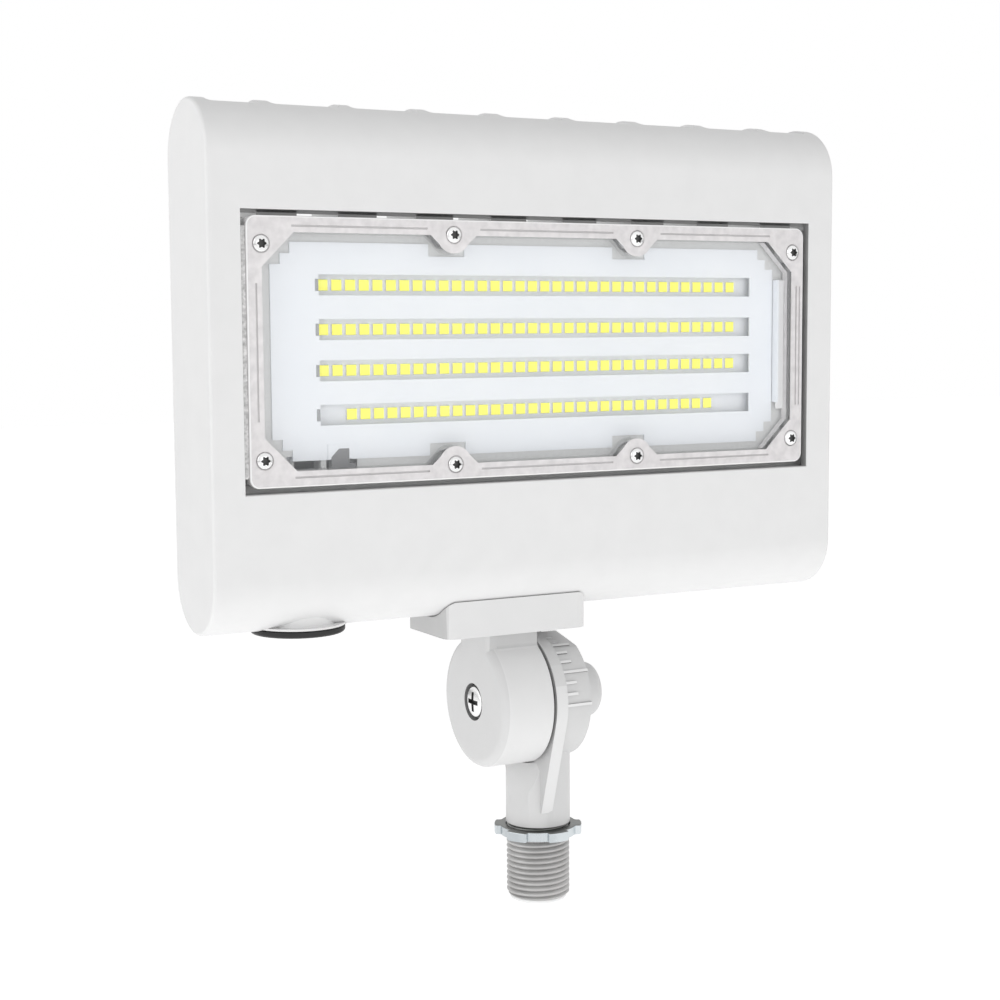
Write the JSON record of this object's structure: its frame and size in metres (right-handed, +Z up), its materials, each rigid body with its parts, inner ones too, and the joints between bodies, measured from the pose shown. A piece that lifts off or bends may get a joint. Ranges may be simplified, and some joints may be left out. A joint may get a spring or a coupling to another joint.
{
  "type": "flood light",
  "caption": "Outdoor LED flood light: slim finned cast head with a clear screwed lens, on a graduated tilting knuckle with a half inch threaded stem and locknut.",
  "frame": {"origin": "centre of the lower end of the half inch thread, on the stem axis", "axes": "+Z up the stem, -Y the way the lit face looks, +X to the right of someone facing the light; the tilt axis runs along X"},
  "size_m": [0.224, 0.0428, 0.2558],
  "materials": {
    "white_coat": "white powder coat, fine texture, satin",
    "arm_coat": "white powder coat on the cast knuckle arm, satin",
    "lens_plastic": "clear polycarbonate",
    "gasket_rubber": "grey silicone",
    "ring_rubber": "black seal ring",
    "reflector_white": "white sheet",
    "board_white": "white solder mask on aluminium",
    "phosphor": "yellow phosphor, unlit",
    "board_green": "green circuit board",
    "terminal_plastic": "dark grey plastic",
    "wire_skin": "red insulation",
    "component_black": "dark sleeves",
    "winding": "yellow tape",
    "screw_steel": "bright zinc plated steel",
    "nipple_zinc": "dull zinc plated steel",
    "nut_zinc": "bright zinc plated steel",
    "bushing_plastic": "white plastic",
    "cap_black": "black plastic",
    "slider_plastic": "off-white plastic"
  },
  "bodies": {
    "knuckle": {"knuckle_arm": "arm_coat", "hub_oring": "ring_rubber", "clamp_screw": "screw_steel", "clamp_washer": "screw_steel", "threaded_nipple": "nipple_zinc", "insulating_bushing": "bushing_plastic"},
    "head": {"housing": "white_coat", "lens": "lens_plastic", "lens_gasket": "gasket_rubber", "lens_screws": "screw_steel", "reflector": "reflector_white", "led_board": "board_white", "led_packages": "phosphor", "led_connector": "terminal_plastic", "led_leads": "wire_skin", "rear_cover": "white_coat", "cover_gasket": "gasket_rubber", "cover_screws": "screw_steel", "driver_board": "board_green", "driver_transformer": "winding", "driver_capacitors": "component_black", "driver_screws": "screw_steel", "mount_bracket": "white_coat", "bracket_gasket": "gasket_rubber", "bracket_screws": "screw_steel", "selector_board": "board_green", "selector_switches": "terminal_plastic"},
    "cap": {"selector_cap": "cap_black", "cap_oring": "ring_rubber"},
    "power_selector": {"power_slider": "slider_plastic"},
    "colour_selector": {"colour_slider": "slider_plastic"},
    "nut": {"locknut": "nut_zinc"}
  },
  "joints": [
    {"name": "tilt", "type": "hinge", "parent": "knuckle", "child": "head", "pos_m": [0, 0, 0.067], "axis": [1, 0, 0], "range_deg": [-90, 90]},
    {"name": "locknut_travel", "type": "slide", "parent": "knuckle", "child": "nut", "axis": [0, 0, -1], "range_m": [0, 0.018]},
    {"name": "cap_pull", "type": "slide", "parent": "head", "child": "cap", "axis": [0, 0, -1], "range_m": [0, 0.012]},
    {"name": "power_select", "type": "slide", "parent": "head", "child": "power_selector", "axis": [1, 0, 0], "range_m": [-0.002, 0.002]},
    {"name": "colour_select", "type": "slide", "parent": "head", "child": "colour_selector", "axis": [1, 0, 0], "range_m": [-0.002, 0.002]}
  ]
}
